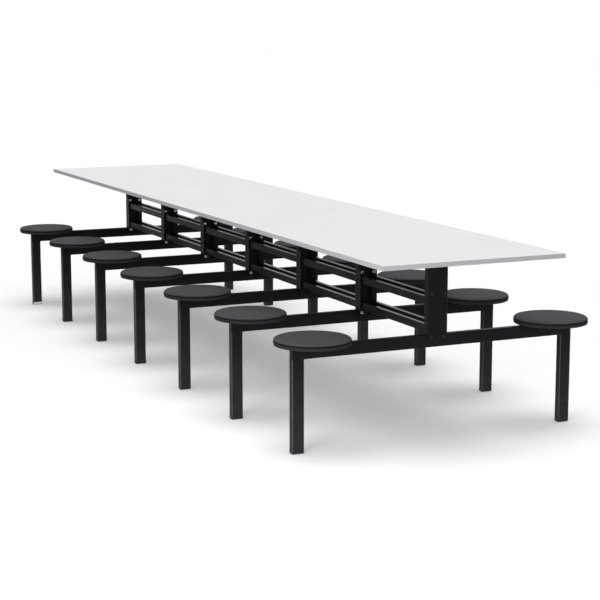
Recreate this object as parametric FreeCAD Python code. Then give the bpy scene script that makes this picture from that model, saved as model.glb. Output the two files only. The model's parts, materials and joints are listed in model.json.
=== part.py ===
import FreeCAD, Part
import math
import os

# Cafeteria table with fixed seats: one long board on a row of frames. Each frame is an
# upside-down U of rectangular tube with a post in its middle that carries the board and
# a round seat over each leg. Pairs of thin rails tie each frame to the next one.
#
# Millimetres. X runs along the board, Y across it and Z up. The origin is on the floor
# under the middle of the board. Frame 1 stands at the low X end, and left is low Y.

# Overall sizes
table_height = 750.0
board_overhang = 300.0
board_width = 790.0
frame_count = 7
frame_pitch = 600.0
leg_span = 1200.0
seat_height = 446.0

# Board: a core with a laminate on both faces and a band on each edge
core_thickness = 16.4
laminate_thickness = 0.8
band_thickness = 2.0
band_round = 0.8

# Tube of the legs and cross beams
tube_width = 50.0
tube_depth = 30.0
tube_wall = 2.0
tube_corner = 4.0

# Posts
post_width = 90.0
post_depth = 30.0
post_wall = 2.0
post_corner = 4.5

# Rails between the frames, an upper and a lower one on each side of the middle. The rise is
# from the top of the beams to the top of the lower rails.
rail_width = 20.0
rail_height = 30.0
rail_wall = 1.5
rail_corner = 2.0
lower_rail_rise = 36.5
rail_spacing = 110.0

# Angle that a pair of rails ends in, set against the face of the post behind
angle_width = 33.0
angle_depth = 20.0
angle_thickness = 3.0
angle_fillet = 2.0
angle_margin = 15.0
rail_to_angle_gap = 4.5
welded_frame = 5

# Bolts through the angles, and the nuts welded inside the posts and beams
bolt_radius = 4.0
bolt_head_radius = 7.0
bolt_head_height = 4.4
bolt_socket_flats = 5.0
bolt_socket_depth = 3.0
bolt_tip = 1.5
bolt_hole_clearance = 0.5
bolt_above_rail = 14.5
bolt_below_beam_top = 10.0
nut_flats = 13.0
nut_thickness = 6.5
nut_clearance = 0.15

# Plugs in the spare bolt holes of the last frame
plug_head_radius = 6.5
plug_head_height = 2.6
plug_stem_radius = 3.9
plug_stem_length = 6.0

# Channel on top of each post, screwed to the board
arm_length = 560.0
arm_width = 60.0
arm_depth = 20.0
arm_thickness = 3.0
arm_screw_inset = 30.0
arm_screw_spacing = 130.0

# Seats
seat_diameter = 300.0
seat_thickness = 26.0
seat_inset = 66.0
seat_dish = 1.5
seat_edge_round = 11.0
seat_groove_height = 3.0
seat_groove_depth = 3.0
seat_skirt_inset = 2.0
seat_skirt_bulge = 0.8
seat_skirt_drop = 1.0
seat_lip = 5.0
seat_skin = 6.0
seat_hub_radius = 92.0
seat_rib_count = 12
seat_rib_thickness = 3.5
seat_rib_rise = 2.0

# Plate between the beam and the seat
plate_width = 100.0
plate_length = 140.0
plate_thickness = 4.0
plate_corner = 12.0
plate_screw_inset = 15.0

# Screws of the seats and of the board
screw_length = 18.0
screw_radius = 2.5
screw_tip = 3.0
screw_point_radius = 0.5
screw_head_radius = 6.0
screw_head_height = 3.4
screw_head_crown = 1.2
screw_recess_radius = 2.0
screw_recess_depth = 1.8
screw_clearance = 0.15
screw_hole_clearance = 0.75
screw_end_gap = 0.5

# Foot caps pressed into the legs
foot_height = 14.0
foot_overhang = 1.0
foot_corner = 7.0
foot_round = 6.5
foot_spigot_length = 22.0
foot_spigot_clearance = 0.2

# Length that a cutting tool runs past what it cuts, or a rib into what carries it
overrun = 2.0

# Length that a shank runs into its head, and how near a line an edge counts as on it
shank_overlap = 1.0
edge_reach = 0.3

# Places that follow from the sizes
board_length = (frame_count - 1) * frame_pitch + 2 * board_overhang
board_thickness = core_thickness + 2 * laminate_thickness
board_underside = table_height - board_thickness
core_underside = board_underside + laminate_thickness
skirt_bottom = seat_height - seat_thickness
plate_top = skirt_bottom + seat_skirt_drop
beam_top = plate_top - plate_thickness
beam_bottom = beam_top - tube_width
lower_rail_top = beam_top + lower_rail_rise
upper_rail_top = lower_rail_top + rail_spacing
post_top = board_underside - arm_thickness
post_face = post_depth / 2
seat_offset = leg_span / 2 - seat_inset
angle_side = post_width / 2
rail_offset = angle_side - angle_thickness - rail_to_angle_gap - rail_width / 2
bolt_heights = (upper_rail_top + bolt_above_rail, beam_top - bolt_below_beam_top)
angle_bottom = bolt_heights[1] - angle_margin
angle_top = bolt_heights[0] + angle_margin
sides = (("left", -1), ("right", 1))
frames = range(1, frame_count + 1)
bays = range(1, frame_count)


def frame_x(number):
    """Place of a frame along the board, counted from its low X end."""
    return (number - (frame_count + 1) / 2) * frame_pitch


def moved(shape, x=0.0, y=0.0, z=0.0):
    """A copy of a shape, shifted."""
    copy = shape.copy()
    copy.translate(FreeCAD.Vector(x, y, z))
    return copy


def turned(shape, axis, degrees):
    """A copy of a shape, turned about a line through the origin."""
    copy = shape.copy()
    copy.rotate(FreeCAD.Vector(0, 0, 0), FreeCAD.Vector(*axis), degrees)
    return copy


def outline(points):
    """A closed wire of straight edges through the points."""
    corners = [FreeCAD.Vector(*point) for point in points]
    return Part.makePolygon(corners + corners[:1])


def rounded_face(width, height, radius):
    """A rectangle in the XY plane about the origin, with its corners rounded."""
    x = width / 2
    y = height / 2
    if radius <= 0:
        return Part.Face(outline([(-x, -y, 0), (x, -y, 0), (x, y, 0), (-x, y, 0)]))
    edges = []
    centres = ((x - radius, y - radius), (radius - x, y - radius),
               (radius - x, radius - y), (x - radius, radius - y))
    for quarter, (cx, cy) in enumerate(centres):
        arc = []
        for step in range(3):
            angle = math.radians(90 * quarter + 45 * step)
            arc.append(FreeCAD.Vector(cx + radius * math.cos(angle), cy + radius * math.sin(angle), 0))
        if edges:
            edges.append(Part.makeLine(edges[-1].Vertexes[-1].Point, arc[0]))
        edges.append(Part.Arc(*arc).toShape())
    edges.append(Part.makeLine(edges[-1].Vertexes[-1].Point, edges[0].Vertexes[0].Point))
    return Part.Face(Part.Wire(edges))


def bar(width, height, length, radius):
    """A rounded rectangle carried up Z from zero."""
    return rounded_face(width, height, radius).extrude(FreeCAD.Vector(0, 0, length))


def hollow_bar(width, height, length, wall, radius):
    """A rectangular tube that stands on the origin."""
    core = bar(width - 2 * wall, height - 2 * wall, length + 2 * overrun, radius - wall)
    return bar(width, height, length, radius).cut(moved(core, z=-overrun))


def across(shape):
    """Lay an upright shape down along Y, with its own Y to the floor."""
    return turned(shape, (1, 0, 0), -90)


def along(shape):
    """Lay an upright shape down along X, with its own X to the floor."""
    return turned(shape, (0, 1, 0), 90)


def drill(radius, length):
    """A cutting cylinder that starts at the origin and runs up Z."""
    return Part.makeCylinder(radius, length)


def edges_like(shape, test):
    """The edges of a shape whose middle point passes a test."""
    found = []
    for edge in shape.Edges:
        middle = edge.valueAt((edge.FirstParameter + edge.LastParameter) / 2)
        if test(middle):
            found.append(edge)
    return found


def mitre_prism(side, keep_beam):
    """The wedge to cut off a leg, or off the beam's end, along their mitre."""
    inner = leg_span / 2 - tube_width / 2
    outer = leg_span / 2 + tube_width / 2
    low = (inner - tube_width, beam_bottom - tube_width)
    high = (outer + tube_width, beam_top + tube_width)
    third = (low[0], high[1])
    if keep_beam:
        third = (high[0], low[1])
    reach = tube_depth / 2 + overrun
    points = [(-reach, side * y, z) for y, z in (low, high, third)]
    return Part.Face(outline(points)).extrude(FreeCAD.Vector(2 * reach, 0, 0))


def bolt_places():
    """The Y and Z of the bolts on the face of a frame."""
    places = []
    for height in bolt_heights:
        for side in (-1, 1):
            places.append((side * rail_offset, height))
    return places


def drilled_face(shape, wall, reach):
    """Cut the bolt holes into the high X wall of a shape that stands at X zero."""
    for y, z in bolt_places():
        hole = along(drill(bolt_radius + bolt_hole_clearance, wall + overrun))
        shape = shape.cut(moved(hole, x=reach - wall, y=y, z=z))
    return shape


def make_leg(side):
    """One leg of a frame, mitred at the top and open at the foot."""
    leg = hollow_bar(tube_depth, tube_width, beam_top - foot_height, tube_wall, tube_corner)
    leg = moved(leg, y=side * leg_span / 2, z=foot_height)
    return leg.cut(mitre_prism(side, False))


def make_beam(has_holes):
    """The cross beam of a frame, mitred to both legs."""
    length = leg_span + tube_width
    beam = across(hollow_bar(tube_depth, tube_width, length, tube_wall, tube_corner))
    beam = moved(beam, y=-length / 2, z=beam_top - tube_width / 2)
    for name, side in sides:
        beam = beam.cut(mitre_prism(side, True))
    if has_holes:
        beam = drilled_face(beam, tube_wall, tube_depth / 2)
    return beam


def make_post(has_holes):
    """The post that stands on a cross beam and carries the board."""
    post = hollow_bar(post_depth, post_width, post_top - beam_top, post_wall, post_corner)
    post = moved(post, z=beam_top)
    if has_holes:
        post = drilled_face(post, post_wall, post_face)
    return post


def make_arm():
    """The channel on top of a post, open below, with its screw holes."""
    outer = bar(arm_width, arm_length, arm_depth, 0)
    inner = bar(arm_width - 2 * arm_thickness, arm_length + 2 * overrun, arm_depth, 0)
    arm = outer.cut(moved(inner, z=-arm_thickness))
    hole = drill(screw_radius + screw_hole_clearance, arm_thickness + 2 * overrun)
    for y in arm_screw_rows():
        arm = arm.cut(moved(hole, y=y, z=arm_depth - arm_thickness - overrun))
    return moved(arm, z=board_underside - arm_depth)


def arm_screw_rows():
    """The Y of each screw in an arm."""
    far = arm_length / 2 - arm_screw_inset
    near = far - arm_screw_spacing
    return (-far, -near, near, far)


def make_angle(side, has_holes):
    """The angle that one side's rails end in: a web on the post and a flange beside it."""
    rail_y = side * rail_offset
    low_y = rail_y - (angle_side - rail_offset)
    high_y = low_y + angle_width
    back = post_face
    web = back + angle_thickness
    front = back + angle_depth
    flange = low_y + angle_thickness
    points = ((back, low_y), (front, low_y), (front, flange), (web, flange), (web, high_y), (back, high_y))
    face = Part.Face(outline([(x, y, angle_bottom) for x, y in points]))
    angle = face.extrude(FreeCAD.Vector(0, 0, angle_top - angle_bottom))
    corner = edges_like(angle, lambda p: math.dist((p.x, p.y), (web, flange)) < edge_reach)
    angle = angle.makeFillet(angle_fillet, corner)
    if has_holes:
        for height in bolt_heights:
            hole = along(drill(bolt_radius + bolt_hole_clearance, angle_thickness + 2 * overrun))
            angle = angle.cut(moved(hole, x=back - overrun, y=rail_y, z=height))
    return angle


def make_rails(number):
    """The four rails of the bay between a frame and the next one."""
    start = frame_x(number) + post_face + angle_thickness
    end = frame_x(number + 1) - post_face
    rail = along(hollow_bar(rail_height, rail_width, end - start, rail_wall, rail_corner))
    rails = []
    for name, side in sides:
        for top in (upper_rail_top, lower_rail_top):
            rails.append(moved(rail, x=start, y=side * rail_offset, z=top - rail_height / 2))
    return rails


def seat_profile():
    """Half of the seat's section: dished top, rounded edge, groove, skirt and hub."""
    rim = seat_diameter / 2
    crest = rim - seat_edge_round
    centre = seat_height - seat_dish
    edge = seat_height - seat_edge_round
    groove = edge - seat_groove_height
    foot = rim - seat_skirt_inset
    lip = foot - seat_lip
    ceiling = centre - seat_skin
    slant = math.sqrt(0.5)

    def at(radius, height):
        return FreeCAD.Vector(radius, 0, height)

    def line(*points):
        return [Part.makeLine(a, b) for a, b in zip(points, points[1:])]

    halfway = at(crest / 2, centre + seat_dish / 4)
    edges = [Part.Arc(at(0, centre), halfway, at(crest, seat_height)).toShape()]
    shoulder = at(crest + seat_edge_round * slant, edge + seat_edge_round * slant)
    edges.append(Part.Arc(at(crest, seat_height), shoulder, at(rim, edge)).toShape())
    edges += line(at(rim, edge), at(rim - seat_groove_depth, edge),
                  at(rim - seat_groove_depth, groove), at(rim, groove))
    belly = at((rim + foot) / 2 + seat_skirt_bulge, (groove + skirt_bottom) / 2)
    edges.append(Part.Arc(at(rim, groove), belly, at(foot, skirt_bottom)).toShape())
    edges += line(at(foot, skirt_bottom), at(lip, skirt_bottom), at(lip, ceiling),
                  at(seat_hub_radius, ceiling), at(seat_hub_radius, plate_top),
                  at(0, plate_top), at(0, centre))
    return Part.Face(Part.Wire(edges))


def make_seat():
    """One seat about the Z axis, ribbed below, with blind holes for its screws."""
    seat = seat_profile().revolve(FreeCAD.Vector(0, 0, 0), FreeCAD.Vector(0, 0, 1), 360)
    lip = seat_diameter / 2 - seat_skirt_inset - seat_lip
    low = plate_top + seat_rib_rise
    high = seat_height - seat_dish - seat_skin + overrun
    ribs = []
    for number in range(seat_rib_count):
        rib = Part.makeBox(lip - seat_hub_radius + 2 * overrun, seat_rib_thickness, high - low)
        rib = moved(rib, x=seat_hub_radius - overrun, y=-seat_rib_thickness / 2, z=low)
        ribs.append(turned(rib, (0, 0, 1), 360 * (number + 0.5) / seat_rib_count))
    seat = seat.fuse(ribs).removeSplitter()
    depth = screw_length - plate_thickness + screw_end_gap
    hole = drill(screw_radius + screw_clearance, depth + overrun)
    for x, y in plate_screw_places():
        seat = seat.cut(moved(hole, x=x, y=y, z=plate_top - overrun))
    return seat


def plate_screw_places():
    """The X and Y of the screws in a seat plate."""
    x = plate_width / 2 - plate_screw_inset
    y = plate_length / 2 - plate_screw_inset
    return ((-x, -y), (x, -y), (x, y), (-x, y))


def make_plate():
    """The plate between a beam and its seat."""
    plate = moved(bar(plate_width, plate_length, plate_thickness, plate_corner), z=beam_top)
    hole = drill(screw_radius + screw_hole_clearance, plate_thickness + 2 * overrun)
    for x, y in plate_screw_places():
        plate = plate.cut(moved(hole, x=x, y=y, z=beam_top - overrun))
    return plate


def make_foot():
    """A foot cap: a rounded pad with a spigot that goes up into the leg."""
    pad_width = tube_width + 2 * foot_overhang
    pad_depth = tube_depth + 2 * foot_overhang
    pad = bar(pad_depth, pad_width, foot_height, foot_corner)
    sole = edges_like(pad, lambda p: p.z < edge_reach)
    pad = pad.makeFillet(foot_round, sole)
    shrink = 2 * (tube_wall + foot_spigot_clearance)
    spigot = bar(tube_depth - shrink, tube_width - shrink, foot_spigot_length + overrun,
                 tube_corner - tube_wall)
    return pad.fuse(moved(spigot, z=foot_height - overrun)).removeSplitter()


def turned_profile(points):
    """A solid turned about Z from points of radius and height."""
    face = Part.Face(outline([(radius, 0, height) for radius, height in points]))
    return face.revolve(FreeCAD.Vector(0, 0, 0), FreeCAD.Vector(0, 0, 1), 360)


def domed_head(radius, height, crown):
    """A head that stands on the origin with a crowned top."""
    base = height - crown
    ball = (radius ** 2 + crown ** 2) / (2 * crown)
    head = Part.makeCylinder(radius, height)
    dome = moved(Part.makeSphere(ball), z=height - ball)
    return head.common(dome.fuse(Part.makeCylinder(radius, base)))


def hexagon(flats, length):
    """A hexagonal prism up Z with two of its flats square to X."""
    radius = flats / math.sqrt(3)
    angles = [math.radians(30 + 60 * corner) for corner in range(6)]
    points = [(radius * math.cos(angle), radius * math.sin(angle), 0) for angle in angles]
    return Part.Face(outline(points)).extrude(FreeCAD.Vector(0, 0, length))


def make_screw():
    """A pan head screw that points up Z, with the underside of its head at the origin."""
    tip = screw_length - screw_tip
    shank = turned_profile(((0, -shank_overlap), (screw_radius, -shank_overlap), (screw_radius, tip),
                            (screw_point_radius, screw_length), (0, screw_length)))
    head = turned(domed_head(screw_head_radius, screw_head_height, screw_head_crown), (1, 0, 0), 180)
    recess = moved(drill(screw_recess_radius, screw_recess_depth), z=-screw_head_height)
    return head.fuse(shank).removeSplitter().cut(recess)


def make_bolt():
    """A button head bolt along X, with the underside of its head at the origin."""
    head = domed_head(bolt_head_radius, bolt_head_height, bolt_head_height / 2)
    socket = moved(hexagon(bolt_socket_flats, bolt_head_height), z=bolt_head_height - bolt_socket_depth)
    length = angle_thickness + post_wall + nut_thickness + bolt_tip
    shank = moved(Part.makeCylinder(bolt_radius, length + shank_overlap), z=-length)
    return along(head.fuse(shank).removeSplitter().cut(socket))


def make_nut():
    """A hexagonal nut along X, with its high X face at the origin and a flat on top."""
    body = hexagon(nut_flats, nut_thickness)
    bore = moved(drill(bolt_radius + nut_clearance, nut_thickness + 2 * overrun), z=-overrun)
    return moved(along(body.cut(bore)), x=-nut_thickness)


def make_plug():
    """A plug along X for a spare bolt hole, with the underside of its head at the origin."""
    head = domed_head(plug_head_radius, plug_head_height, plug_head_height / 2)
    stem = moved(Part.makeCylinder(plug_stem_radius, plug_stem_length + shank_overlap), z=-plug_stem_length)
    return along(head.fuse(stem).removeSplitter())


def make_core():
    """The board's core, with blind holes for the screws of every arm."""
    core = bar(board_length - 2 * band_thickness, board_width - 2 * band_thickness, core_thickness, 0)
    core = moved(core, z=core_underside)
    return core.cut(board_holes(board_underside + screw_length - arm_thickness + screw_end_gap))


def make_laminate(underside):
    """One laminate sheet of the board with its underside at a given height."""
    sheet = bar(board_length - 2 * band_thickness, board_width - 2 * band_thickness, laminate_thickness, 0)
    return moved(sheet, z=underside)


def board_holes(top):
    """The screw holes of the board, from just below it up to a given height."""
    low = board_underside - overrun
    hole = drill(screw_radius + screw_clearance, top - low)
    holes = []
    for number in frames:
        for y in arm_screw_rows():
            holes.append(moved(hole, x=frame_x(number), y=y, z=low))
    return Part.makeCompound(holes)


def make_band(length):
    """An edge band along X, its outer face at low Y, with both outer edges eased."""
    band = Part.makeBox(length, band_thickness, board_thickness)
    outer = edges_like(band, lambda p: p.y < edge_reach and abs(p.x - length / 2) < edge_reach)
    return moved(band.makeFillet(band_round, outer), x=-length / 2, y=-band_thickness, z=board_underside)


def make_bands():
    """The four edge bands: two along the board's sides, and two between them at its ends."""
    side_band = moved(make_band(board_length), y=band_thickness - board_width / 2)
    end_band = moved(make_band(board_width - 2 * band_thickness), y=band_thickness - board_length / 2)
    bands = []
    for half_turn in (0, 180):
        bands.append(turned(side_band, (0, 0, 1), half_turn))
        bands.append(turned(end_band, (0, 0, 1), half_turn + 90))
    return bands


def save(name, shapes):
    """Write one node, as a single solid or as a group of separate solids."""
    shape = shapes[0]
    if len(shapes) > 1:
        shape = Part.makeCompound(shapes)
    for solid in shape.Solids:
        if not solid.isValid():
            print("not valid:", name)
    shape.exportStep(os.path.join("parts", name + ".step"))


def build_board():
    """The board's core, laminates and edge bands."""
    save("top_core_board", [make_core()])
    save("top_laminate", [make_laminate(table_height - laminate_thickness)])
    under = make_laminate(board_underside).cut(board_holes(core_underside + overrun))
    save("under_laminate", [under])
    save("edge_bands", make_bands())


def build_frames():
    """Legs, beams, posts, seats and what each frame repeats."""
    beams = {holes: make_beam(holes) for holes in (True, False)}
    posts = {holes: make_post(holes) for holes in (True, False)}
    seat = make_seat()
    plate = make_plate()
    foot = make_foot()
    arm = make_arm()
    screw = make_screw()
    plates = []
    feet = []
    arms = []
    screws = []
    for number in frames:
        x = frame_x(number)
        holes = number != welded_frame
        save("cross_beam_%d" % number, [moved(beams[holes], x=x)])
        save("post_%d" % number, [moved(posts[holes], x=x)])
        arms.append(moved(arm, x=x))
        for y in arm_screw_rows():
            screws.append(moved(screw, x=x, y=y, z=board_underside - arm_thickness))
        for name, side in sides:
            y = side * seat_offset
            save("leg_%s_%d" % (name, number), [moved(make_leg(side), x=x)])
            save("seat_%s_%d" % (name, number), [moved(seat, x=x, y=y)])
            plates.append(moved(plate, x=x, y=y))
            feet.append(moved(foot, x=x, y=side * leg_span / 2))
            for screw_x, screw_y in plate_screw_places():
                screws.append(moved(screw, x=x + screw_x, y=y + screw_y, z=beam_top))
    save("top_arms", arms)
    save("seat_plates", plates)
    save("foot_caps", feet)
    save("mounting_screws", screws)


def build_rails():
    """The rails of every bay, with their end angles, bolts, nuts and plugs."""
    angles = []
    bolts = []
    nuts = []
    plugs = []
    bolt = make_bolt()
    nut = make_nut()
    plug = make_plug()
    for number in bays:
        save("rail_set_%d" % number, make_rails(number))
        for name, side in sides:
            angles.append(moved(make_angle(side, number != welded_frame), x=frame_x(number)))
    for number in frames:
        if number == welded_frame:
            continue
        face = frame_x(number) + post_face
        for y, z in bolt_places():
            nuts.append(moved(nut, x=face - post_wall, y=y, z=z))
            if number < frame_count:
                bolts.append(moved(bolt, x=face + angle_thickness, y=y, z=z))
            else:
                plugs.append(moved(plug, x=face, y=y, z=z))
    save("rail_end_angles", angles)
    save("frame_bolts", bolts)
    save("weld_nuts", nuts)
    save("hole_plugs", plugs)


os.makedirs("parts", exist_ok=True)
build_board()
build_frames()
build_rails()
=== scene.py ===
"""Cafeteria table with fixed seats: finishes, weld beads and a pale studio round the frame.

Lengths are metres. X runs along the board, Y across it and Z up, with the floor at zero.
"""
import json
import math

import bpy
import numpy as np
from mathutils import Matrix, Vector


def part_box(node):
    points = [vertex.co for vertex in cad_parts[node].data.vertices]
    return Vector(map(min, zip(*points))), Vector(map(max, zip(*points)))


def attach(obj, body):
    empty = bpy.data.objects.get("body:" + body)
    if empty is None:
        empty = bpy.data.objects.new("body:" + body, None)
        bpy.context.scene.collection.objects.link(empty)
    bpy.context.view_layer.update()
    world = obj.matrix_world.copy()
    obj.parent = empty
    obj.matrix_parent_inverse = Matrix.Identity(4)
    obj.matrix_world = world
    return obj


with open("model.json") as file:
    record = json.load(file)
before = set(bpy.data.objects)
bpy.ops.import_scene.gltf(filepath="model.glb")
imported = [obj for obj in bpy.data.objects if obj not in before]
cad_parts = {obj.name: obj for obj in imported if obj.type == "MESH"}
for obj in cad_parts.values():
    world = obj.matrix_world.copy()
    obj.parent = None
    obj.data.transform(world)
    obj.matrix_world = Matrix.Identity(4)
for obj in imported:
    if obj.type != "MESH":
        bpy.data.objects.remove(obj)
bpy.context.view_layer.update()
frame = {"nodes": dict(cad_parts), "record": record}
MM = 0.001

# Sizes that the boxes of the nodes don't give
frame_count = sum(name.startswith("post_") for name in frame["nodes"])
tube_corner = 4 * MM
post_corner = 4.5 * MM
rail_width = 20 * MM
rail_height = 30 * MM
rail_corner = 2 * MM
seat_edge_round = 11 * MM
seat_groove = 3 * MM
bolt_head_radius = 7 * MM

# Where the finishes change, and by how much
glue_line = 0.5 * MM
groove_blend = 0.3 * MM
# Share of the seats' painted rim shade that falls on the skirt below the groove
skirt_shade_share = 0.62
# Reach of the painted shade round the sockets of the bolts
socket_shade_radius = 4 * MM
socket_shade_blend = 0.4 * MM
# Dust near the floor, which is also painted light that the floor throws on the lower legs
dust_and_floor_light_height = 420 * MM
dust_and_floor_light_share = 0.21
# Strength of the painted highlight on the upright corners of the legs
corner_highlight_share = 0.6
rubbed_rise = 10 * MM
rubbed_roughness_share = 0.52
facing_near_end = 0.7

# Colours as linear red, green, blue and alpha. Tones are the two that a finish varies between.
coat_tones = ((0.0028, 0.0033, 0.0039, 1), (0.0044, 0.0049, 0.0055, 1))
# Colour of the near-floor dust and painted floor light
dust_and_floor_light_colour = (0.110, 0.116, 0.120, 1)
# Colour of the painted highlight on the legs' corners
corner_highlight_colour = (0.105, 0.110, 0.114, 1)
# Colour of the dust on upper faces of the steel, which is also a painted highlight there
coat_dust_and_top_light_colour = (0.25, 0.25, 0.24, 1)
seat_tones = ((0.051, 0.052, 0.055, 1), (0.060, 0.061, 0.065, 1))
seat_dust_colour = (0.30, 0.30, 0.29, 1)
# Colour of the painted shade in the seats' groove and on their rounded edge and skirt
rim_shade_colour = (0.007, 0.007, 0.008, 1)
top_tones = ((0.775, 0.777, 0.782, 1), (0.79, 0.792, 0.797, 1))
underside_tones = ((0.70, 0.70, 0.70, 1), (0.74, 0.74, 0.74, 1))
edge_tones = ((0.43, 0.434, 0.447, 1), (0.45, 0.454, 0.467, 1))
glue_colour = (0.16, 0.15, 0.14, 1)
fibre_tones = ((0.40, 0.28, 0.17, 1), (0.66, 0.52, 0.36, 1))
foot_tones = ((0.010, 0.010, 0.011, 1), (0.014, 0.014, 0.0154, 1))
pale_cap_colour = (0.86, 0.86, 0.87, 1)
plug_tones = ((0.006, 0.006, 0.007, 1), (0.0084, 0.0084, 0.0098, 1))
zinc_tones = ((0.58, 0.585, 0.60, 1), (0.64, 0.635, 0.61, 1))
# Colour of the painted shade in the bolts' sockets
socket_shade_colour = (0.012, 0.012, 0.012, 1)

# Weld beads
bead_leg = 3.2 * MM
bead_sunk = 0.4 * MM
bead_hollow_share = 0.38
bead_end_share = 0.35
ripple_pitch = 2.4 * MM
ripple_share = 0.09
samples_per_ripple = 3
arc_samples = 5
lens_samples = 6
mitre_bead_width = 5 * MM
mitre_bead_rise = 0.6 * MM
seam_depth = tube_corner / 3
stitch_length = 32 * MM
stitch_inset = 8 * MM

# Camera, with its turn from looking along -X and its dip below the horizon
camera_place = (7.2507, -3.1065, 1.6435)
camera_turn = math.radians(24.815)
camera_dip = math.radians(9.918)
camera_lens = 97.36

# Studio. The surround has its first level beyond the far end of the table, its second beyond the near.
floor_reach = 60.0
floor_drop = 0.2 * MM
floor_white = 0.89
floor_glow = 0.14
floor_grey = (0.55, 0.55, 0.56, 1)
surround_levels = (0.28, 0.68)
surround_tint = (0.98, 0.98, 1, 1)
sun_strength = 1.56
sun_spread = math.radians(52)
side_lamp_place = (3.9, -3.1, 0.85)
side_lamp_aim = (1.5, -0.4, 0.5)
side_lamp_size = (1.6, 1.0)
side_lamp_watts = 78.0


def fill(tree, node, inputs):
    """Link or set inputs of a node, by name or number."""
    for socket, value in inputs.items():
        if isinstance(value, bpy.types.NodeSocket):
            tree.links.new(value, node.inputs[socket])
        else:
            node.inputs[socket].default_value = value


def put(tree, kind, inputs=None, **settings):
    """Add a node, set its options, and fill its inputs."""
    node = tree.nodes.new(kind)
    for option, value in settings.items():
        setattr(node, option, value)
    fill(tree, node, inputs or {})
    return node


def calculate(tree, operation, *numbers):
    """One operation on numbers."""
    return put(tree, "ShaderNodeMath", dict(enumerate(numbers)), operation=operation).outputs[0]


def combine(tree, operation, *vectors):
    """One operation on vectors, as its node's outputs."""
    return put(tree, "ShaderNodeVectorMath", dict(enumerate(vectors)), operation=operation).outputs


def ramp(tree, value, start, end, first=0.0, last=1.0, curve="LINEAR"):
    """First where the value is at or under start, last where it is at or over end, blended between."""
    inputs = {"Value": value, "From Min": start, "From Max": end, "To Min": first, "To Max": last}
    return put(tree, "ShaderNodeMapRange", inputs, interpolation_type=curve).outputs[0]


def own_place(tree):
    """Where the shaded point is on its object, which is its place on the table."""
    return put(tree, "ShaderNodeTexCoord").outputs["Object"]


def parts_of(tree, vector):
    """The X, Y and Z of a vector, by name."""
    return put(tree, "ShaderNodeSeparateXYZ", {0: vector}).outputs


def height(tree):
    """Height above the floor."""
    return parts_of(tree, own_place(tree))["Z"]


def facing(tree):
    """The X, Y and Z of the direction that the surface faces, by name."""
    return parts_of(tree, put(tree, "ShaderNodeNewGeometry").outputs["Normal"])


def noise(tree, scale, detail, roughness=0.5, vector=None):
    """Fractal noise from zero to one, on a vector or else on the object's own place."""
    inputs = {"Vector": vector or own_place(tree), "Scale": scale, "Detail": detail, "Roughness": roughness}
    return put(tree, "ShaderNodeTexNoise", inputs).outputs[0]


def mix_colours(tree, factor, first, second):
    """Two colours mixed by a factor, each a socket or a colour."""
    node = put(tree, "ShaderNodeMix", {"Factor": factor, "A": first, "B": second}, data_type="RGBA")
    return node.outputs["Result"]


def bumped(tree, rise, strength, depth):
    """The normal that a rise from zero to one makes, with its depth in metres."""
    return put(tree, "ShaderNodeBump", {"Strength": strength, "Distance": depth, "Height": rise}).outputs[0]


def new_group(name, numbers, output):
    """A shader node group with number inputs and one number output, and the sockets of its inputs."""
    group = bpy.data.node_groups.new(name, "ShaderNodeTree")
    for label, start in numbers.items():
        socket = group.interface.new_socket(label, in_out="INPUT", socket_type="NodeSocketFloat")
        socket.default_value = start
    group.interface.new_socket(output, in_out="OUTPUT", socket_type="NodeSocketFloat")
    return group, put(group, "NodeGroupInput").outputs


def use_group(tree, group, **values):
    """The output of a group that is placed with its own numbers."""
    node = put(tree, "ShaderNodeGroup", node_tree=group)
    for label, value in values.items():
        node.inputs[label.capitalize()].default_value = value
    return node.outputs[0]


def patches_group():
    """Soft blotches: fractal noise on the object's own place, spread between two values."""
    group, given = new_group("soft_patches", {"Scale": 4.0, "Low": 0.0, "High": 1.0}, "Value")
    blotches = noise(group, given["Scale"], detail=5.0, roughness=0.6)
    spread = ramp(group, blotches, start=0.3, end=0.7, first=given["Low"], last=given["High"],
                  curve="SMOOTHSTEP")
    put(group, "NodeGroupOutput", {"Value": spread})
    return group


def pebble_group():
    """Moulded or sprayed texture: rounded cells with finer noise over them, as a height."""
    group, given = new_group("pebble_texture", {"Cells": 900.0, "Fines": 2500.0, "Share": 0.35}, "Height")
    pebbles = put(group, "ShaderNodeTexVoronoi", {
        "Vector": own_place(group), "Scale": given["Cells"], "Smoothness": 0.6}, feature="SMOOTH_F1")
    coarse = noise(group, given["Cells"], detail=1.0)
    fine = noise(group, given["Fines"], detail=2.0)
    mixed = put(group, "ShaderNodeMix", {
        "Factor": given["Share"], "A": pebbles.outputs["Distance"],
        "B": calculate(group, "MULTIPLY", coarse, fine)})
    put(group, "NodeGroupOutput", {"Height": mixed.outputs["Result"]})
    return group


def dust_and_top_light_group():
    """Thin dust where a surface faces up, broken by noise, as a mask from zero to the amount. A high amount
    also paints a highlight on the upper faces.
    """
    group, given = new_group("dust_and_top_light", {"Amount": 0.05, "Scale": 30.0}, "Mask")
    upward = ramp(group, facing(group)["Z"], start=0.4, end=1.0)
    broken = calculate(group, "MULTIPLY", noise(group, given["Scale"], detail=6.0), upward)
    put(group, "NodeGroupOutput", {"Mask": calculate(group, "MULTIPLY", broken, given["Amount"])})
    return group


soft_patches = patches_group()
pebble_texture = pebble_group()
dust_and_top_light = dust_and_top_light_group()


def patchy(tree, scale, low=0.0, high=1.0):
    """Soft patches between two values, finer as the scale rises."""
    return use_group(tree, soft_patches, scale=scale, low=low, high=high)


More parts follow.
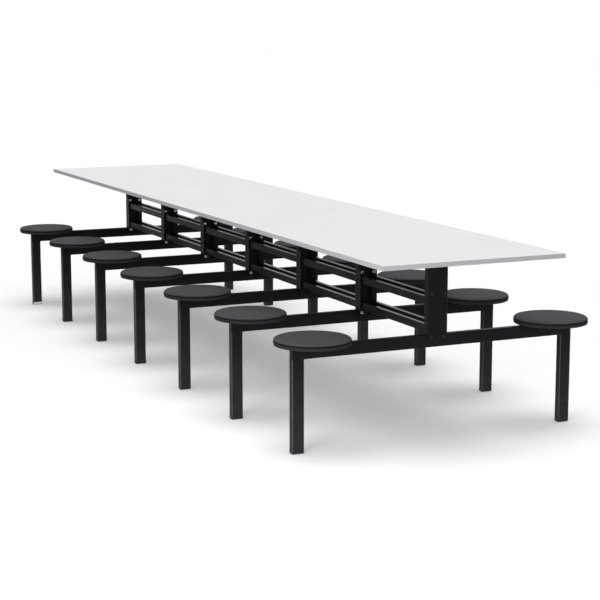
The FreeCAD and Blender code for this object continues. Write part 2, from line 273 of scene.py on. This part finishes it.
def start_material(name):
    """An empty material with a Principled surface, and the tree and surface to build on."""
    material = bpy.data.materials.new(name)
    material.use_nodes = True
    tree = material.node_tree
    tree.nodes.clear()
    surface = put(tree, "ShaderNodeBsdfPrincipled")
    put(tree, "ShaderNodeOutputMaterial", {"Surface": surface.outputs[0]})
    return material, tree, surface


def dust_and_floor_light(tree):
    """Fine dust that the steel picks up near the floor, in patches and thinning out upwards. It is also
    painted light from the floor on the lower legs.
    """
    low = ramp(tree, height(tree), start=0.0, end=dust_and_floor_light_height, first=dust_and_floor_light_share, last=0.0)
    return calculate(tree, "MULTIPLY", low, patchy(tree, scale=14.0, low=0.8, high=1.2))


def leg_corner_highlight(tree):
    """A painted highlight on the upright corners of the legs, in patches.

    On a corner the X and Y of the direction that the surface faces are both well off zero, and
    so is their product. On a flat side it is zero.
    """
    way = facing(tree)
    slant = calculate(tree, "ABSOLUTE", calculate(tree, "MULTIPLY", way["X"], way["Y"]))
    corner = ramp(tree, slant, start=0.1, end=0.4, last=corner_highlight_share)
    under_beam = calculate(tree, "LESS_THAN", height(tree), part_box("cross_beam_1")[0].z)
    on_leg = calculate(tree, "MULTIPLY", corner, under_beam)
    return calculate(tree, "MULTIPLY", on_leg, patchy(tree, scale=30.0, low=0.75, high=1.1))


def rubbed_top(tree):
    """What the roughness is multiplied by: less than one on the tops of the rails, and else one."""
    upward = ramp(tree, facing(tree)["Z"], start=0.5, end=0.9)
    clear_of_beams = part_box("cross_beam_1")[1].z + rubbed_rise
    above = calculate(tree, "GREATER_THAN", height(tree), clear_of_beams)
    both = calculate(tree, "MULTIPLY", upward, above)
    return ramp(tree, both, start=0.0, end=1.0, first=1.0, last=rubbed_roughness_share)


def powder_coat():
    """Black fine-texture powder coat: satin, with orange peel, paler on top and near the floor from dust
    and painted light.

    It has a painted highlight on the corners of the legs, and is glossier on the tops of the rails, which
    bags and hands rub.
    """
    material, tree, surface = start_material("black_powder_coat")
    coat = mix_colours(tree, patchy(tree, scale=9.0), *coat_tones)
    # Dust and painted floor light on the lower legs
    coat_with_dust_and_floor_light = mix_colours(tree, dust_and_floor_light(tree), coat, dust_and_floor_light_colour)
    # Painted highlight on the legs' corners
    coat_with_corner_highlight = mix_colours(tree, leg_corner_highlight(tree), coat_with_dust_and_floor_light, corner_highlight_colour)
    # Dust on the upper faces, raised so that it also paints the highlight on the tops of the rails
    dust_and_top_light_mask = use_group(tree, dust_and_top_light, amount=0.10, scale=60.0)
    sheen = patchy(tree, scale=22.0, low=0.42, high=0.54)
    peel = use_group(tree, pebble_texture, cells=700.0, fines=2600.0, share=0.4)
    fill(tree, surface, {
        "Base Color": mix_colours(tree, dust_and_top_light_mask, coat_with_corner_highlight, coat_dust_and_top_light_colour),
        "Roughness": calculate(tree, "MULTIPLY", sheen, rubbed_top(tree)),
        "Specular IOR Level": 0.09,
        "Normal": bumped(tree, peel, strength=0.15, depth=0.12 * MM)})
    return material


def seat_rim_painted_shade(tree):
    """Painted shade on the seats: one in the groove and low on their rounded edge, part of one below, zero
    on top.
    """
    groove_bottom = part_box("seat_left_1")[1].z - seat_edge_round - seat_groove
    above = ramp(tree, height(tree), start=groove_bottom - groove_blend, end=groove_bottom,
                 first=skirt_shade_share)
    turned = ramp(tree, facing(tree)["Z"], start=0.1, end=0.75, first=1.0, last=0.0, curve="SMOOTHSTEP")
    return calculate(tree, "MULTIPLY", above, turned)


def seat_plastic():
    """Dark grey moulded plastic with a fine even grain, a little polished by use.

    It has painted shade in the groove, on the rounded edge and on the skirt below it.
    """
    material, tree, surface = start_material("grained_seat_plastic")
    plastic = mix_colours(tree, patchy(tree, scale=6.0), *seat_tones)
    dust_and_top_light_mask = use_group(tree, dust_and_top_light, amount=0.03, scale=40.0)
    dusty = mix_colours(tree, dust_and_top_light_mask, plastic, seat_dust_colour)
    grain = use_group(tree, pebble_texture, cells=1100.0, fines=3200.0, share=0.25)
    fill(tree, surface, {
        # The groove, rounded edge and skirt get painted shade
        "Base Color": mix_colours(tree, seat_rim_painted_shade(tree), dusty, rim_shade_colour),
        "Roughness": patchy(tree, scale=12.0, low=0.72, high=0.84),
        "Specular IOR Level": 0.07,
        "Normal": bumped(tree, grain, strength=0.35, depth=0.10 * MM)})
    return material


def border_line(tree, node):
    """One within a hair of the border of a flat node's rectangle, and else zero."""
    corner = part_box(node)[1]
    spot = parts_of(tree, combine(tree, "ABSOLUTE", own_place(tree))[0])
    marks = [ramp(tree, spot[axis], start=reach - glue_line, end=reach - glue_line / 2)
             for axis, reach in (("X", corner.x), ("Y", corner.y))]
    return calculate(tree, "MAXIMUM", *marks)


def laminate(name, tones, gloss, specular, edged_node=None):
    """Pale matt laminate: nearly even, with wiping marks in its gloss and a fine tooth.

    Gloss is the two values that its roughness varies between. A sheet that an edge band goes
    round shows the dark glue line between the two.
    """
    material, tree, surface = start_material(name)
    colour = mix_colours(tree, patchy(tree, scale=3.0), *tones)
    if edged_node:
        colour = mix_colours(tree, border_line(tree, edged_node), colour, glue_colour)
    tooth = use_group(tree, pebble_texture, cells=1600.0, fines=4200.0, share=0.5)
    fill(tree, surface, {
        "Base Color": colour,
        "Roughness": patchy(tree, 7.0, *gloss),
        "Specular IOR Level": specular,
        "Normal": bumped(tree, tooth, strength=0.12, depth=0.05 * MM)})
    return material


def fibreboard():
    """Raw core board: pressed fibres as noise that is flattened in height, in warm browns."""
    material, tree, surface = start_material("raw_fibreboard")
    flat = put(tree, "ShaderNodeMapping", {"Vector": own_place(tree), "Scale": (1.0, 1.0, 4.0)})
    fibres = noise(tree, scale=600.0, detail=6.0, vector=flat.outputs[0])
    fill(tree, surface, {
        "Base Color": mix_colours(tree, fibres, *fibre_tones),
        "Roughness": 0.85,
        "Normal": bumped(tree, fibres, strength=0.5, depth=0.2 * MM)})
    return material


def far_left_front(tree):
    """One on the near face of the far left leg's foot cap, which the photograph shows pale."""
    spot = parts_of(tree, own_place(tree))
    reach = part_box("leg_left_1")[1].x + tube_corner
    far = calculate(tree, "LESS_THAN", spot["X"], reach)
    left = calculate(tree, "LESS_THAN", spot["Y"], 0.0)
    front = calculate(tree, "GREATER_THAN", facing(tree)["X"], facing_near_end)
    return calculate(tree, "MULTIPLY", calculate(tree, "MULTIPLY", far, left), front)


def moulded_black(name, tones, gloss, specular, grain_strength, pale_mask=None):
    """Black moulded plastic of the foot caps and plugs, with its own gloss and grain.

    Gloss is the two values that its roughness varies between.
    """
    material, tree, surface = start_material(name)
    colour = mix_colours(tree, patchy(tree, scale=40.0), *tones)
    if pale_mask:
        colour = mix_colours(tree, pale_mask(tree), colour, pale_cap_colour)
    grain = use_group(tree, pebble_texture, cells=1400.0, fines=3000.0, share=0.3)
    fill(tree, surface, {
        "Base Color": colour,
        "Roughness": patchy(tree, 60.0, *gloss),
        "Specular IOR Level": specular,
        "Normal": bumped(tree, grain, strength=grain_strength, depth=0.08 * MM)})
    return material


def socket_painted_shade(tree):
    """Painted shade: one in and close round the sockets of the frame's bolts, and else zero.

    The place is folded about the middle of all the bolts, so that one axis along X stands for
    the four of each frame, and the distance from that axis sets the value.
    """
    low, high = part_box("frame_bolts")
    middle = (0.0, 0.0, (low.z + high.z) / 2)
    axis = (0.0, high.y - bolt_head_radius, (high.z - low.z) / 2 - bolt_head_radius)
    centred = combine(tree, "SUBTRACT", own_place(tree), middle)[0]
    folded = combine(tree, "ABSOLUTE", centred)[0]
    aside = combine(tree, "SUBTRACT", folded, axis)[0]
    across = combine(tree, "MULTIPLY", aside, (0.0, 1.0, 1.0))[0]
    away = combine(tree, "LENGTH", across)["Value"]
    return ramp(tree, away, start=socket_shade_radius, end=socket_shade_radius + socket_shade_blend, first=1.0, last=0.0)


def zinc_plate():
    """Dull zinc plate: bare metal, drifting between warm and cool, with a fine tooth and painted shade in
    the sockets.
    """
    material, tree, surface = start_material("bright_zinc_plate")
    plate = mix_colours(tree, patchy(tree, scale=160.0), *zinc_tones)
    tooth = use_group(tree, pebble_texture, cells=3000.0, fines=6000.0, share=0.6)
    fill(tree, surface, {
        # The sockets and a ring round them get painted shade
        "Base Color": mix_colours(tree, socket_painted_shade(tree), plate, socket_shade_colour),
        "Metallic": 1.0,
        "Roughness": patchy(tree, scale=300.0, low=0.22, high=0.34),
        "Normal": bumped(tree, tooth, strength=0.15, depth=0.03 * MM)})
    return material


finishes = {
    "board_core": fibreboard(),
    "table_top": laminate("pale_top_laminate", top_tones, gloss=(0.46, 0.56), specular=0.3,
                          edged_node="top_laminate"),
    "table_underside": laminate("backing_laminate", underside_tones, gloss=(0.55, 0.65), specular=0.3,
                                edged_node="under_laminate"),
    "table_edge": laminate("edge_band", edge_tones, gloss=(0.54, 0.64), specular=0.03),
    "frame_black": powder_coat(),
    "seat_plastic": seat_plastic(),
    "foot_plastic": moulded_black("foot_cap_plastic", foot_tones, gloss=(0.42, 0.50), specular=0.3,
                                  grain_strength=0.3, pale_mask=far_left_front),
    "bolt_zinc": zinc_plate(),
    "plug_plastic": moulded_black("plug_plastic", plug_tones, gloss=(0.22, 0.30), specular=0.22,
                                  grain_strength=0.1),
}


def finish_nodes():
    """Give every node of the frame the finish of its slot in the record."""
    for part in frame["record"]["subparts"]:
        node = frame["nodes"][part["node"]]
        node.data.materials.clear()
        node.data.materials.append(finishes[part["material_slot"]])


def fillet_section():
    """A fillet bead cut across, as out and up from its corner, with its back sunk in.

    Its face is a quarter turn about the corner, a bead's leg away at both ends. Half way round
    it is nearer by the hollow share of that, and the cosine of twice the turn blends the two.
    """
    turn = np.linspace(0, math.pi / 2, arc_samples)
    reach = 1 - bead_hollow_share + bead_hollow_share * np.abs(np.cos(2 * turn))
    face = bead_leg * reach[:, None] * np.stack([np.cos(turn), np.sin(turn)], axis=1)
    back = np.array([[-bead_sunk, bead_leg], [-bead_sunk, -bead_sunk], [bead_leg, -bead_sunk]])
    return np.concatenate([face, back])


def flat_section():
    """A low bead over a flush seam: half a cosine wave across, with its back sunk in."""
    side = mitre_bead_width / 2
    across = np.linspace(side, -side, lens_samples)
    rise = mitre_bead_rise * np.cos(math.pi * across / mitre_bead_width)
    back = np.array([[-side, -bead_sunk], [side, -bead_sunk]])
    return np.concatenate([np.stack([across, rise], axis=1), back])


def tube_mesh(path, out, up, section, closed):
    """Carry a section along a path: point plus out and up times the section, with ripples.

    The ripple is a sine of the length along the path. Open ends are shrunk and capped.
    """
    steps = np.linalg.norm(np.diff(path, axis=0), axis=1)
    length = np.concatenate([[0.0], np.cumsum(steps)])
    size = 1 + ripple_share * np.sin(2 * math.pi * length / ripple_pitch)
    if not closed:
        to_end = np.minimum(length, length[-1] - length)
        size = size * (bead_end_share + (1 - bead_end_share) * np.clip(to_end / bead_leg, 0, 1))
    spread = out[:, None] * section[None, :, :1] + up[:, None] * section[None, :, 1:]
    points = path[:, None] + spread * size[:, None, None]
    rings, sides = points.shape[:2]
    ring = np.arange(rings if closed else rings - 1)[:, None]
    side = np.arange(sides)[None]
    after, beside = (ring + 1) % rings, (side + 1) % sides
    quads = np.stack([ring * sides + side, ring * sides + beside,
                      after * sides + beside, after * sides + side], axis=-1).reshape(-1, 4)
    faces = quads.tolist()
    if not closed:
        faces.append(list(range(sides))[::-1])
        faces.append([(rings - 1) * sides + corner for corner in range(sides)])
    return points.reshape(-1, 3), faces


def samples_along(length):
    """How many points a run of bead has, for its ripples to show."""
    return round(length / ripple_pitch * samples_per_ripple)


def straight_bead(start, end, out, up, section):
    """A bead from one point to another, with its two directions across."""
    start, end = np.array(start, float), np.array(end, float)
    count = samples_along(np.linalg.norm(end - start))
    path = start + (end - start) * np.linspace(0, 1, count)[:, None]
    directions = [np.tile(np.array(way, float), (count, 1)) for way in (out, up)]
    return tube_mesh(path, *directions, section, False)


def ring_bead(centre, first, second, up, width, depth, corner, section):
    """A bead round a rounded rectangle: four arcs joined by straight runs.

    The rectangle's width lies along the first direction and its depth along the second, and
    the bead rises along up.
    """
    first, second, up = (np.array(way, float) for way in (first, second, up))
    places, normals = [], []
    for quarter in range(4):
        turn = math.pi / 2 * (quarter + np.linspace(0, 1, arc_samples))
        normal = np.stack([np.cos(turn), np.sin(turn)], axis=1)
        middle = turn[arc_samples // 2]
        hub = np.array([math.copysign(width / 2 - corner, math.cos(middle)),
                        math.copysign(depth / 2 - corner, math.sin(middle))])
        places.append(hub + corner * normal)
        normals.append(normal)
        run, mirror = (depth, (1, -1)) if quarter % 2 else (width, (-1, 1))
        share = np.linspace(0, 1, samples_along(run - 2 * corner) + 1)[1:-1, None]
        places.append(places[-1][-1] + (hub * np.array(mirror) - hub) * share)
        normals.append(np.repeat(normal[-1:], len(share), axis=0))
    flat = np.concatenate(places)
    normal = np.concatenate(normals)
    path = np.array(centre, float) + flat[:, :1] * first + flat[:, 1:] * second
    out = normal[:, :1] * first + normal[:, 1:] * second
    return tube_mesh(path, out, np.tile(up, (len(path), 1)), section, True)


def join(beads):
    """One set of points and faces from several."""
    points, faces, count = [], [], 0
    for some_points, some_faces in beads:
        points.append(some_points)
        faces += [[corner + count for corner in face] for face in some_faces]
        count += len(some_points)
    return np.concatenate(points), faces


def place_object(name, data):
    """A new object in the scene that shows a mesh, a lamp or a camera."""
    added = bpy.data.objects.new(name, data)
    bpy.context.scene.collection.objects.link(added)
    return added


def steel_piece(name, beads):
    """A piece of frame steel made of beads, that rides with the table."""
    points, faces = join(beads)
    mesh = bpy.data.meshes.new(name)
    mesh.from_pydata(points.tolist(), [], faces)
    mesh.validate()
    mesh.polygons.foreach_set("use_smooth", [True] * len(mesh.polygons))
    mesh.materials.append(finishes["frame_black"])
    piece = place_object(name, mesh)
    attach(piece, "root")


def mitre_beads(number):
    """Beads on both mitres of a frame: along each face, and across the inner corner."""
    beads = []
    beam_low, beam_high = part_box("cross_beam_%d" % number)
    lens = flat_section()
    fillet = fillet_section()
    for side in ("left", "right"):
        leg_low, leg_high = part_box("leg_%s_%d" % (side, number))
        way = -1 if side == "left" else 1
        inner, outer = (leg_high.y, leg_low.y) if side == "left" else (leg_low.y, leg_high.y)
        for face, x in ((-1, beam_low.x), (1, beam_high.x)):
            start = (x, inner + way * tube_corner, beam_low.z + tube_corner)
            end = (x, outer - way * tube_corner, beam_high.z - tube_corner)
            slope = np.array([0, -face * way, face]) / math.sqrt(2)
            beads.append(straight_bead(start, end, slope, (face, 0, 0), lens))
        start = (beam_low.x + tube_corner, inner, beam_low.z)
        end = (beam_high.x - tube_corner, inner, beam_low.z)
        beads.append(straight_bead(start, end, (0, -way, 0), (0, 0, -1), fillet))
    return beads


def post_beads(number):
    """Beads round a post: on the beam beside it, in the flush seams, and under the arm."""
    low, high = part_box("post_%d" % number)
    fillet = fillet_section()
    lens = flat_section()
    beads = []
    for way, y in ((-1, low.y), (1, high.y)):
        ends = [(x, y, low.z) for x in (low.x + tube_corner, high.x - tube_corner)]
        beads.append(straight_bead(*ends, (0, way, 0), (0, 0, 1), fillet))
    for way, x in ((-1, low.x), (1, high.x)):
        ends = [(x - way * seam_depth, y, low.z - seam_depth)
                for y in (low.y + post_corner, high.y - post_corner)]
        beads.append(straight_bead(*ends, (0, 0, 1), (way, 0, 0), lens))
    centre = ((low.x + high.x) / 2, (low.y + high.y) / 2, high.z)
    beads.append(ring_bead(centre, (1, 0, 0), (0, 1, 0), (0, 0, -1),
                           high.x - low.x, high.y - low.y, post_corner, fillet))
    return beads


def rail_beads(bay):
    """Beads round both ends of the four rails of a bay."""
    low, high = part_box("rail_set_%d" % bay)
    fillet = fillet_section()
    beads = []
    for y in (low.y + rail_width / 2, high.y - rail_width / 2):
        for z in (low.z + rail_height / 2, high.z - rail_height / 2):
            for x, way in ((low.x, 1), (high.x, -1)):
                beads.append(ring_bead((x, y, z), (0, 1, 0), (0, 0, 1), (way, 0, 0),
                                       rail_width, rail_height, rail_corner, fillet))
    return beads


def plate_beads(number):
    """Short beads under each seat plate, in the groove along the beam's rounded edge."""
    beam_low, beam_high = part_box("cross_beam_%d" % number)
    plate_low, plate_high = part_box("seat_plates")
    seat_low, seat_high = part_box("seat_right_%d" % number)
    fillet = fillet_section()
    seat_middle = (seat_low.y + seat_high.y) / 2
    reach = plate_high.y - seat_middle
    beads = []
    for side in (-1, 1):
        for along in (-1, 1):
            outer = seat_middle + along * (reach - stitch_inset)
            inner = outer - along * stitch_length
            for way, x in ((-1, beam_low.x), (1, beam_high.x)):
                ends = [(x - way * tube_corner / 2, side * y, plate_low.z) for y in (inner, outer)]
                beads.append(straight_bead(*ends, (way, 0, 0), (0, 0, -1), fillet))
    return beads


def build_welds():
    """Every weld of the steelwork, joined into one piece for each kind of joint."""
    numbers = range(1, frame_count + 1)
    steel_piece("mitre_welds", [bead for number in numbers for bead in mitre_beads(number)])
    steel_piece("post_welds", [bead for number in numbers for bead in post_beads(number)])
    steel_piece("rail_welds", [bead for bay in numbers[:-1] for bead in rail_beads(bay)])
    steel_piece("seat_plate_welds", [bead for number in numbers for bead in plate_beads(number)])


def white_to_the_eye(tree):
    """One where a ray comes from the camera, from gloss or from glass, and else zero."""
    path = put(tree, "ShaderNodeLightPath").outputs
    seen = calculate(tree, "MAXIMUM", path["Is Camera Ray"], path["Is Glossy Ray"])
    return calculate(tree, "MAXIMUM", seen, path["Is Transmission Ray"])


def build_surround():
    """A soft surround, brighter towards the near end of the table, that shows as white."""
    world = bpy.data.worlds.new("studio_surround")
    bpy.context.scene.world = world
    world.use_nodes = True
    tree = world.node_tree
    tree.nodes.clear()
    way = parts_of(tree, put(tree, "ShaderNodeTexCoord").outputs["Generated"])
    level = ramp(tree, way["X"], -1.0, 1.0, *surround_levels)
    glow = put(tree, "ShaderNodeBackground", {"Color": surround_tint, "Strength": level})
    white = put(tree, "ShaderNodeBackground", {"Color": (1, 1, 1, 1), "Strength": 1.0})
    both = put(tree, "ShaderNodeMixShader", {
        0: white_to_the_eye(tree), 1: glow.outputs[0], 2: white.outputs[0]})
    put(tree, "ShaderNodeOutputWorld", {"Surface": both.outputs[0]})


def build_floor():
    """A wide flat floor that shows white, and sends less than that back up.

    A small share of what the eye sees is its own glow, which keeps the shadow pale.
    """
    mesh = bpy.data.meshes.new("studio_floor")
    corners = [(x * floor_reach, y * floor_reach, -floor_drop)
               for x, y in ((-1, -1), (1, -1), (1, 1), (-1, 1))]
    mesh.from_pydata(corners, [], [(0, 1, 2, 3)])
    floor = place_object("studio_floor", mesh)
    material, tree, surface = start_material("floor_paint")
    seen = white_to_the_eye(tree)
    fill(tree, surface, {
        "Base Color": mix_colours(tree, seen, floor_grey, (floor_white, floor_white, floor_white, 1)),
        "Emission Color": mix_colours(tree, seen, (0, 0, 0, 1), (floor_glow, floor_glow, floor_glow, 1)),
        "Emission Strength": 1.0,
        "Roughness": 1.0,
        "Specular IOR Level": 0.0})
    mesh.materials.append(material)


def aim(thing, direction):
    """Turn a lamp or a camera to look along a direction, with its top up."""
    thing.rotation_euler = direction.to_track_quat("-Z", "Y").to_euler()


def build_lamps():
    """A very soft overhead light, and a low softbox off the left corner of the near end."""
    ceiling = bpy.data.lights.new("ceiling_softbox", "SUN")
    ceiling.energy = sun_strength
    ceiling.angle = sun_spread
    place_object("ceiling_softbox", ceiling)
    side = bpy.data.lights.new("side_softbox", "AREA")
    side.shape = "RECTANGLE"
    side.size, side.size_y = side_lamp_size
    side.energy = side_lamp_watts
    holder = place_object("side_softbox", side)
    holder.location = side_lamp_place
    holder.visible_camera = False
    aim(holder, Vector(side_lamp_aim) - Vector(side_lamp_place))


def build_camera():
    """The camera at the photograph's place."""
    data = bpy.data.cameras.new("photo_camera")
    data.lens = camera_lens
    data.clip_end = 2 * floor_reach
    camera = place_object("photo_camera", data)
    camera.location = camera_place
    level = math.cos(camera_dip)
    ahead = (-math.cos(camera_turn) * level, math.sin(camera_turn) * level, -math.sin(camera_dip))
    aim(camera, Vector(ahead))
    bpy.context.scene.camera = camera


finish_nodes()
build_welds()
build_surround()
build_floor()
build_lamps()
build_camera()
bpy.context.scene.view_settings.view_transform = "Standard"
